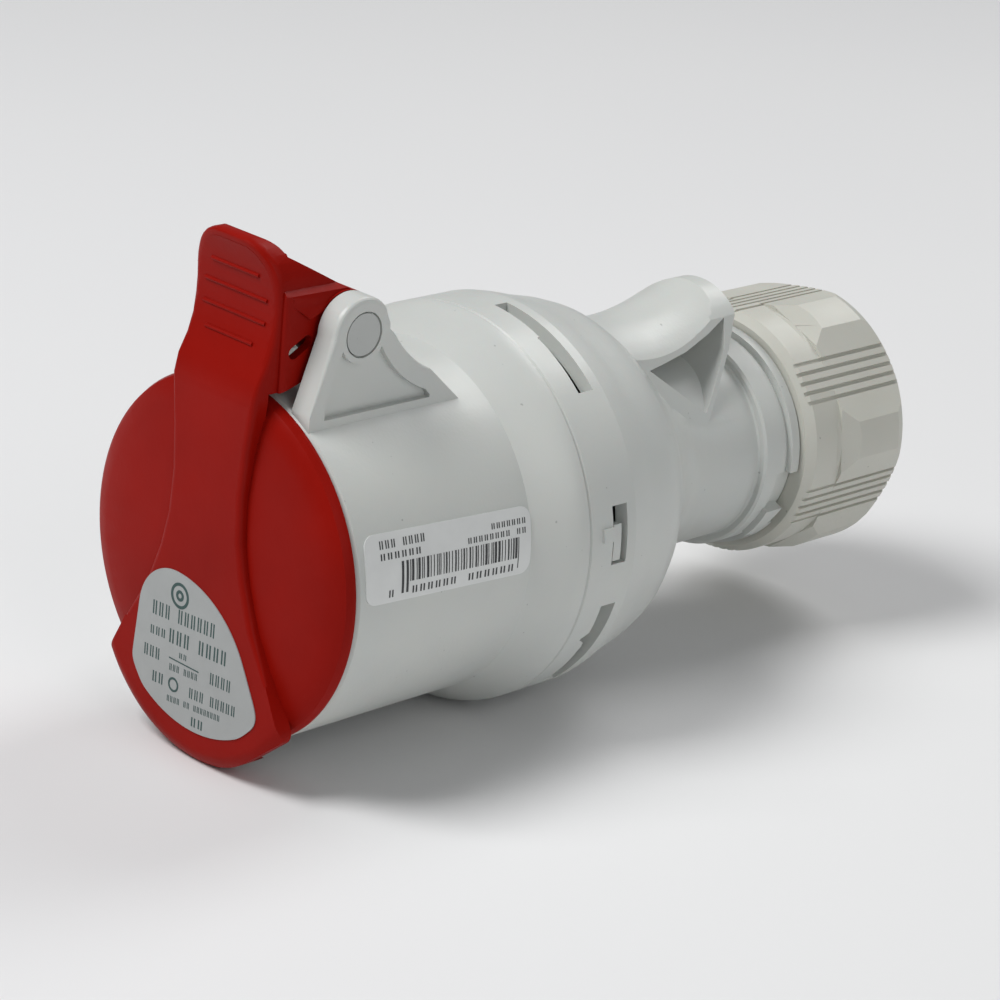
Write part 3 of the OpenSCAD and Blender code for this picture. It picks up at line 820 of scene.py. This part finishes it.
@dataclass
class Ear:
    """The outer edge of a hinge ear, in millimetres.

    Attributes:
        outer: x of the ear's outer face.
        low: height from which its edge is rounded.
        pin: y and z of the hinge pin.
        wall: width from which a face counts as the ear's wall.
        reach: how far the rounding goes.
        end_share: share of the reach at both ends.
        near: how close to the outer face a point counts as lying in it.
        upright: largest x of the normal of a wall.
    """

    outer: float = 15.2
    low: float = 27.0
    pin: tuple[float, float] = (10.15, 38.3)
    wall: float = 2.5
    reach: float = 0.95
    end_share: float = 0.3
    near: float = 0.02
    upright: float = 0.1

    def walls(self, bm: Mesh, side: int) -> dict[tuple[float, float], list[Vector]]:
        """Finds the corners of the outer edge.

        Args:
            bm: the front housing's mesh.
            side: 1 for the ear at +X, -1 for the other.

        Returns:
            For each corner's y and z, the directions into the walls that meet there.
        """
        found: dict[tuple[float, float], list[Vector]] = {}
        for edge in bm.edges:
            ends = [v.co / MM for v in edge.verts]
            off = any(abs(q.x - side * self.outer) > self.near or q.z < self.low for q in ends)
            if off or len(edge.link_faces) != 2:
                continue
            for face in edge.link_faces:
                wide = [v.co.x / MM for v in face.verts]
                if abs(face.normal.x) < self.upright and max(wide) - min(wide) > self.wall:
                    for q in ends:
                        found.setdefault((round(q.y, 2), round(q.z, 2)), []).append(-face.normal)
        return found

    def stations(self, bm: Mesh, side: int) -> list[Station]:
        """Says how the outer edge is rounded.

        Args:
            bm: the front housing's mesh.
            side: 1 for the ear at +X, -1 for the other.

        Returns:
            The places along the edge, from front to back.
        """
        walls = self.walls(bm, side)
        y0, z0 = self.pin
        order = sorted(walls, key=lambda q: q[0] if q[1] < z0 else y0 + (q[0] - y0) * 0.5)
        made = []
        for i, (y, z) in enumerate(order):
            inward = sum(walls[(y, z)], Vector()).normalized()
            reach = self.reach * (self.end_share if i in (0, len(order) - 1) else 1)
            made.append(Station(Vector((side * self.outer, y, z)), inward, Vector((-side, 0, 0)), reach, reach))
        return made


def on_ring_edge(point: Vector) -> bool:
    """Says whether a point lies where the ring turns into the dome."""
    return abs(point.y - RING_EDGE_Y * MM) < NEAR * MM


@dataclass
class Mouldings:
    """The plastic mouldings that show, as softened copies of their solids.

    Attributes:
        edge: ordinary rounding in metres.
        groove_edge: rounding of the nut's grip.
        slot_floor: radius of the floor of the upper slot in metres.
        slot_y: front and back of the slot in millimetres.
        slot_angles: its two ends in degrees.
    """

    edge: float = 0.3 * MM
    groove_edge: float = 0.14 * MM
    slot_floor: float = 30.15 * MM
    slot_y: tuple[float, float] = (46, 55)
    slot_angles: tuple[float, float] = (49, 67)

    def build(self) -> None:
        """Makes each softened moulding."""
        grey = GREY_HOUSING.material()
        # painted shade: the lid's red is written darker than its own colour
        painted_shade_red = RED_LID_PAINTED_SHADE.material()
        warm = WARM_NUT.material()
        plain = Edging(self.edge)
        grip = Edging(self.groove_edge, sharp=13)
        for node, body, slot, material, edging, smooth in (
            ("front_housing", Body.HOUSING, Slot.HOUSING, grey, None, 21),
            ("rear_housing", Body.HOUSING, Slot.HOUSING, grey, plain, 21),
            ("gland_nut", Body.NUT, Slot.NUT, warm, grip, 13),
            ("flap_lid", Body.LID, Slot.LID, painted_shade_red, None, 24),
        ):
            bm = softened(node, edging)
            if node == "front_housing":
                self.clear_slot(bm)
                ear = Ear()
                bm = shaved(bm, [ear.stations(bm, 1), ear.stations(bm, -1)])
            if node == "flap_lid":
                web = Web()
                web.slim(bm)
                bm = shaved(bm, BandEdge().stations() + [web.stations(1), web.stations(-1)])
            piece = add_piece(node + "_moulding", bm, material, body, smooth, on_ring_edge)
            even = piece.modifiers.new("even_shading", "WEIGHTED_NORMAL")
            even.keep_sharp = True
            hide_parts(node)

    def clear_slot(self, bm: Mesh) -> None:
        """Lays the upper bayonet lug low, since the photographed slot shows an open floor.

        Args:
            bm: the front housing's mesh.
        """
        for vert in bm.verts:
            radius = Vector((vert.co.x, vert.co.z)).length
            angle = degrees(atan2(vert.co.z, vert.co.x))
            front, back = self.slot_y
            in_slot = front * MM < vert.co.y < back * MM and self.slot_angles[0] < angle < self.slot_angles[1]
            if in_slot and radius > self.slot_floor:
                vert.co.x *= self.slot_floor / radius
                vert.co.z *= self.slot_floor / radius


def add_strip(bm: Mesh, rows: Sequence[tuple[float, float, float]], place: Place, lift: float) -> None:
    """Adds a thin closed plate that is drawn as rows from bottom to top.

    Args:
        bm: the mesh.
        rows: height, left end and right end of each row, in millimetres.
        place: gives the point at an across, an up and a lift.
        lift: thickness of the plate in millimetres.
    """
    corners = []
    for up, left, right in rows:
        ends = [(across, rise) for rise in (0.0, lift) for across in (left, right)]
        corners.append([bm.verts.new(place(across, up, rise)) for across, rise in ends])
    for low, high in zip(corners, corners[1:]):
        for i, j in ((0, 1), (1, 3), (3, 2), (2, 0)):
            bm.faces.new((low[i], low[j], high[j], high[i]))
    for end in (corners[0], corners[-1]):
        bm.faces.new((end[0], end[1], end[3], end[2]))


def add_ring(
    bm: Mesh, centre: tuple[float, float], radii: tuple[float, float], place: Place, lift: float
) -> None:
    """Adds a thin closed ring.

    Args:
        bm: the mesh.
        centre: across and up of its middle, in millimetres.
        radii: inner and outer radius in millimetres.
        place: gives the point at an across, an up and a lift.
        lift: thickness of the ring in millimetres.
    """
    loops = []
    for k in range(RING_STEPS):
        turn = 2 * pi * k / RING_STEPS
        loops.append([
            bm.verts.new(place(centre[0] + r * cos(turn), centre[1] + r * sin(turn), rise))
            for r, rise in ((radii[0], 0.0), (radii[1], 0.0), (radii[1], lift), (radii[0], lift))
        ])
    for here, after in zip(loops, loops[1:] + loops[:1]):
        for i in range(4):
            j = (i + 1) % 4
            bm.faces.new((here[i], here[j], after[j], after[i]))


@dataclass(frozen=True)
class Line:
    """A line of generic print: pairs of short plain bars, with gaps between its words.

    Attributes:
        left: across of its left end in millimetres.
        right: across of its right end.
        up: height of its middle at the left end.
        height: height of its bars.
        words: number of pairs in each word.
        rise: how much higher the right end lies.
    """

    left: float
    right: float
    up: float
    height: float
    words: tuple[int, ...]
    rise: float = 0.0

    def add(self, bm: Mesh, place: Place, lift: float) -> None:
        """Adds the bars of the line.

        Args:
            bm: the mesh.
            place: gives the point at an across, an up and a lift.
            lift: thickness of the print in millimetres.
        """
        cells = sum(self.words) + len(self.words) - 1
        pitch = (self.right - self.left) / cells
        cell = 0
        for count in self.words:
            for _ in range(count):
                start = self.left + cell * pitch
                middle = self.up + self.rise * cell / cells
                low, high = middle - self.height / 2, middle + self.height / 2
                for near, far in STEMS:
                    ends = (start + near * pitch, start + far * pitch)
                    add_strip(bm, [(low, *ends), (middle, *ends), (high, *ends)], place, lift)
                cell += 1
            cell += 1


@dataclass
class LidLabel:
    """The lid's label: its film and its generic print.

    Attributes:
        front: y of the print's face in millimetres.
        lift: thickness of the print.
        circles: middle and inner and outer radius of each plain circle.
        rule: bottom, top, left and right of the short rule.
        kink: corner of the solid's outline that the film leaves out.
        points: number of points round the film.
        passes: how often the outline is evened out.
    """

    front: float = -5.8
    lift: float = 0.03
    circles: tuple = (
        ((-3.8, -6.7), (1.6, 2.1)),
        ((-3.8, -6.7), (0.4, 0.9)),
        ((-4.0, -21.6), (0.85, 1.2)),
    )
    rule: tuple[float, float, float, float] = (-17.55, -17.35, -5.4, 1.6)
    kink: tuple[float, float] = (-13.001, -23.049)
    points: int = 150
    passes: int = 5
    lines: tuple[Line, ...] = (
        Line(-10.1, 4.9, -10.5, 2.3, (3, 6), 1.0),
        Line(-10.3, -6.4, -14.3, 1.4, (3,), 0.3),
        Line(-5.9, 7.9, -13.8, 2.3, (3, 4), 0.8),
        Line(-11.5, -7.4, -18.0, 1.9, (3,), 0.2),
        Line(-3.2, -1.2, -16.3, 0.9, (2,), 0.1),
        Line(-5.3, 1.5, -18.9, 1.1, (3, 4), 0.5),
        Line(4.1, 9.2, -17.4, 1.9, (4,), 0.3),
        Line(-9.2, -6.2, -21.8, 1.8, (2,), 0.2),
        Line(-0.4, 10.6, -21.5, 1.7, (3, 5), 0.8),
        Line(-5.4, 7.2, -24.2, 1.0, (4, 2, 8), 1.1),
        Line(0.4, 3.6, -26.0, 1.5, (2,), 0.2),
    )

    def place(self, across: float, up: float, rise: float) -> Vector:
        """Gives the point on the label's face.

        Args:
            across: x in millimetres.
            up: z in millimetres.
            rise: height above the film in millimetres.

        Returns:
            The point in metres.
        """
        return Vector((across, self.front + self.lift - rise, up)) * MM

    def outline(self) -> list[tuple[float, float]]:
        """Runs the solid's outline smooth.

        Returns:
            The x and z of its points in millimetres, in their order.
        """
        solid = merged("lid_label")
        corners = {(round(v.co.x / MM, 3), round(v.co.z / MM, 3)) for v in solid.verts}
        solid.free()
        corners -= {self.kink}
        mid_x = sum(x for x, _ in corners) / len(corners)
        mid_z = sum(z for _, z in corners) / len(corners)
        ring = sorted(corners, key=lambda q: atan2(q[1] - mid_z, q[0] - mid_x))
        sides = list(zip(ring, ring[1:] + ring[:1]))
        pitch = sum(dist(start, end) for start, end in sides) / self.points
        points, left = [], 0.0
        for start, end in sides:
            length = dist(start, end)
            while left < length:
                share = left / length
                points.append((start[0] + (end[0] - start[0]) * share, start[1] + (end[1] - start[1]) * share))
                left += pitch
            left -= length
        for _ in range(self.passes):
            points = [
                ((before[0] + 2 * here[0] + after[0]) / 4, (before[1] + 2 * here[1] + after[1]) / 4)
                for before, here, after in zip(points[-1:] + points[:-1], points, points[1:] + points[:1])
            ]
        return points

    def build(self) -> None:
        """Makes the film, a print's thickness lower than the solid, and the print."""
        film = bmesh.new()
        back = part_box("lid_label")[1][1]
        face = film.faces.new([film.verts.new((x * MM, back, z * MM)) for x, z in self.outline()])
        front = bmesh.ops.extrude_face_region(film, geom=[face])["geom"]
        for vert in (item for item in front if isinstance(item, bmesh.types.BMVert)):
            vert.co.y = (self.front + self.lift) * MM
        bmesh.ops.recalc_face_normals(film, faces=film.faces)
        # the film's material carries painted shade, written darker than its own colour
        piece = add_piece("lid_label_film_painted_shade", film, LID_FILM_PAINTED_SHADE.material(), Body.LID)
        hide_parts("lid_label")
        bm = bmesh.new()
        for line in self.lines:
            line.add(bm, self.place, self.lift)
        low, high, left, right = self.rule
        add_strip(bm, [(low, left, right), (high, left, right)], self.place, self.lift)
        for centre, radii in self.circles:
            add_ring(bm, centre, radii, self.place, self.lift)
        bmesh.ops.recalc_face_normals(bm, faces=bm.faces)
        add_piece("lid_label_print", bm, DARK_INK.material(), Body.LID)


@dataclass
class SideSticker:
    """The sticker on the flank: its film, laid on a little askew, and its generic print.

    Attributes:
        drum: radius of the shell in millimetres.
        film: thickness of the film.
        lift: thickness of the print.
        middle: y and angle in degrees of its middle.
        size: length and height in millimetres.
        corner: radius of its corners.
        askew: turn on the shell in degrees.
        sunk: how deep the print's underside lies in the film.
        code_span: left and right end of the block of upright bars.
        code_top: height of the bars' tops.
        code_low: height of their lower ends.
        guard_low: height of the lower ends of the longer bars at both ends.
        guard_from: where the longer bars at the right end start.
        code_steps: number of pieces of a bar along its height.
        bar_widths: widths that a bar may have.
        bar_gaps: gaps that may follow it.
    """

    drum: float = 29.0
    film: float = 0.2
    lift: float = 0.03
    middle: tuple[float, float] = (19.0, 11.7)
    size: tuple[float, float] = (34.6, 10.6)
    corner: float = 2.0
    askew: float = -2.8
    sunk: float = 0.005
    code_span: tuple[float, float] = (-10.1, 14.9)
    code_top: float = 0.65
    code_low: float = -2.6
    guard_low: float = -4.2
    guard_from: float = 14.2
    code_steps: int = 6
    bar_widths: tuple[float, ...] = (0.16, 0.16, 0.3, 0.45)
    bar_gaps: tuple[float, ...] = (0.2, 0.32, 0.5)
    lines: tuple[Line, ...] = (
        Line(-14.5, -4.9, 3.55, 1.25, (3, 4)),
        Line(-14.5, -5.8, 1.75, 1.0, (6,)),
        Line(8.7, 16.4, 3.1, 0.9, (7,)),
        Line(3.6, 16.4, 1.6, 0.9, (8, 2)),
        Line(-12.9, -11.4, -3.95, 1.1, (1,)),
        Line(-8.1, 1.6, -3.95, 1.1, (6,)),
        Line(3.7, 14.0, -3.95, 1.1, (6,)),
    )

    def place(self, across: float, up: float, rise: float) -> Vector:
        """Gives the point on the curved flank.

        Args:
            across: distance along the sticker from its middle, in millimetres.
            up: distance up the sticker from its middle.
            rise: height above the shell.

        Returns:
            The point in metres.
        """
        turn = radians(self.askew)
        along = self.middle[0] + across * cos(turn) - up * sin(turn)
        round_shell = across * sin(turn) + up * cos(turn)
        angle = radians(self.middle[1]) + round_shell / self.drum
        r = self.drum + rise
        return Vector((r * cos(angle), along, r * sin(angle))) * MM

    def on_film(self, across: float, up: float, rise: float) -> Vector:
        """Gives the point on the film's face, as place does on the shell's."""
        return self.place(across, up, self.film - self.sunk + rise)

    def outline(self) -> list[tuple[float, float, float]]:
        """Gives the rounded rectangle.

        Returns:
            Its rows from bottom to top, as height, left end and right end.
        """
        half, top = self.size[0] / 2, self.size[1] / 2
        steps = 6
        bend = []
        for k in range(steps + 1):
            t = pi / 2 * k / steps
            bend.append((top - self.corner * (1 - cos(t)), half - self.corner * (1 - sin(t))))
        straight = 8
        span = top - self.corner
        rows = [(-up, -reach, reach) for up, reach in bend]
        rows += [(-span + 2 * span * k / straight, -half, half) for k in range(1, straight)]
        rows += [(up, -reach, reach) for up, reach in reversed(bend)]
        return rows

    def bars(self, bm: Mesh) -> None:
        """Adds a block of uneven upright bars that stands for a printed code.

        Args:
            bm: the print's mesh.
        """
        draw = random.Random(11)
        at, end = self.code_span
        index = 0
        while at < end:
            width = draw.choice(self.bar_widths)
            low = self.guard_low if index in (0, 1) or at > self.guard_from else self.code_low
            rows = [
                (low + (self.code_top - low) * k / self.code_steps, at, at + width)
                for k in range(self.code_steps + 1)
            ]
            add_strip(bm, rows, self.on_film, self.lift)
            at += width + draw.choice(self.bar_gaps)
            index += 1

    def build(self) -> None:
        """Makes the film and the print."""
        film = bmesh.new()
        add_strip(film, self.outline(), self.place, self.film)
        bmesh.ops.recalc_face_normals(film, faces=film.faces)
        piece = add_piece("side_sticker_film", film, FILM.material(), Body.HOUSING)
        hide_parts("side_sticker")
        bm = bmesh.new()
        for line in self.lines:
            line.add(bm, self.on_film, self.lift)
        self.bars(bm)
        bmesh.ops.recalc_face_normals(bm, faces=bm.faces)
        add_piece("side_sticker_print", bm, INK.material(), Body.HOUSING)


@dataclass
class CarriedOver:
    """The CAD nodes that stay, with their finishes."""

    def dress(self) -> None:
        """Gives each node its material."""
        steel = STEEL.material()
        brass = BRASS.material()
        rubber = RUBBER.material()
        carrier = BLACK_CARRIER.material()
        warm = WARM_NUT.material()
        chosen = {
            "lid_gasket": rubber,
            "hinge_pin": PIN_GREY.material(),
            "lid_spring": steel,
            "contact_carrier": carrier,
            "contact_retainer": carrier,
            "contact_l1": brass,
            "contact_l2": brass,
            "contact_l3": brass,
            "contact_earth": brass,
            "contact_clips": steel,
            "terminal_screws": steel,
            "housing_seal": rubber,
            "clamp_cage": warm,
            "cable_seal": rubber,
            "thrust_washer": warm,
        }
        for node, material in chosen.items():
            finished(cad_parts[node], material)
            LOG.info("%s: finished", node)


@dataclass(frozen=True)
class Lamp:
    """A square soft lamp.

    Attributes:
        name: its name.
        place: where it hangs, in metres.
        size: length of its side in metres.
        power: its power in watts.
    """

    name: str
    place: Sequence[float]
    size: float
    power: float


@dataclass
class Studio:
    """Camera, floor and soft light.

    Attributes:
        place: where the camera stands, in metres.
        aim: the point that it looks at.
        roll: turn of the camera about its view, in degrees.
        lens: focal length on a 36 mm wide frame.
        lit: the point that the lamps look at.
        floor_size: half the side of the floor.
        floor_colours: the two colours of its faint clouds.
        sky: colour of the world's light.
        sky_power: its strength.
        seen: colour of the background that the camera sees.
        lamps: the soft lamps.
    """

    place: Sequence[float] = (0.35803, -0.32561, 0.19281)
    aim: Sequence[float] = (-0.011776, 0.072, -0.009091)
    roll: float = 5.7817
    lens: float = 122.63
    lit: Sequence[float] = (0, 0.06, 0)
    floor_size: float = 3.0
    floor_colours: tuple[Colour, Colour] = ((0.80, 0.80, 0.80), (0.78, 0.78, 0.785))
    sky: Colour = (0.95, 0.97, 1.0)
    sky_power: float = 0.18
    seen: Colour = (0.93, 0.93, 0.93)
    lamps: tuple[Lamp, ...] = (
        Lamp("key_lamp", (-0.3, -0.55, 0.95), 0.5, 10.0),
        Lamp("fill_lamp", (0.9, -0.1, 0.45), 0.7, 2.0),
        Lamp("rim_lamp", (-0.1, 0.8, 0.85), 0.5, 4.0),
    )

    def camera(self) -> None:
        """Sets the photograph's view."""
        data = bpy.data.cameras.new("camera")
        data.lens = self.lens
        data.sensor_width = 36
        data.sensor_fit = "HORIZONTAL"
        data.clip_start = 0.01
        camera = bpy.data.objects.new("camera", data)
        bpy.context.scene.collection.objects.link(camera)
        look = Vector(self.aim) - Vector(self.place)
        turn = look.to_track_quat("-Z", "Y").to_matrix().to_4x4() @ Matrix.Rotation(radians(self.roll), 4, "Z")
        camera.matrix_world = Matrix.Translation(self.place) @ turn
        bpy.context.scene.camera = camera

    def floor(self) -> None:
        """Lays a plain pale floor under the part."""
        low = CAD_BOX[0][2]
        bm = bmesh.new()
        bmesh.ops.create_grid(bm, x_segments=1, y_segments=1, size=self.floor_size)
        bmesh.ops.translate(bm, verts=bm.verts, vec=(0, 0, low))
        mesh = bpy.data.meshes.new("floor")
        bm.to_mesh(mesh)
        bm.free()
        floor = bpy.data.objects.new("floor", mesh)
        bpy.context.scene.collection.objects.link(floor)
        s = Shader("pale_floor")
        s.colour(s.blend(s.span(s.noise(0.3, 2), 0, 1), *self.floor_colours))
        s.surface.inputs["Roughness"].default_value = 0.9
        mesh.materials.append(s.material)

    def lights(self) -> None:
        """Hangs the soft lamps and sets the world."""
        for lamp in self.lamps:
            data = bpy.data.lights.new(lamp.name, "AREA")
            data.shape = "SQUARE"
            data.size = lamp.size
            data.energy = lamp.power
            hung = bpy.data.objects.new(lamp.name, data)
            bpy.context.scene.collection.objects.link(hung)
            turn = (Vector(self.lit) - Vector(lamp.place)).to_track_quat("-Z", "Y").to_matrix().to_4x4()
            hung.matrix_world = Matrix.Translation(lamp.place) @ turn
        world = bpy.data.worlds.new("studio")
        bpy.context.scene.world = world
        world.use_nodes = True
        nodes = world.node_tree.nodes
        links = world.node_tree.links
        soft = nodes["Background"]
        soft.inputs["Color"].default_value = (*self.sky, 1)
        soft.inputs["Strength"].default_value = self.sky_power
        seen = nodes.new("ShaderNodeBackground")
        seen.inputs["Color"].default_value = (*self.seen, 1)
        pick = nodes.new("ShaderNodeMixShader")
        path = nodes.new("ShaderNodeLightPath")
        links.new(path.outputs["Is Camera Ray"], pick.inputs["Fac"])
        links.new(soft.outputs["Background"], pick.inputs[1])
        links.new(seen.outputs["Background"], pick.inputs[2])
        links.new(pick.outputs["Shader"], nodes["World Output"].inputs["Surface"])
        bpy.context.scene.view_settings.view_transform = "Standard"

    def build(self) -> None:
        """Sets up the whole studio."""
        self.camera()
        self.floor()
        self.lights()


def main() -> None:
    """Builds the dressed part and its studio."""
    logging.basicConfig(level=logging.INFO, format="%(message)s")
    Studio().build()
    CarriedOver().dress()
    Mouldings().build()
    LidLabel().build()
    SideSticker().build()


if __name__ == "__main__":
    main()
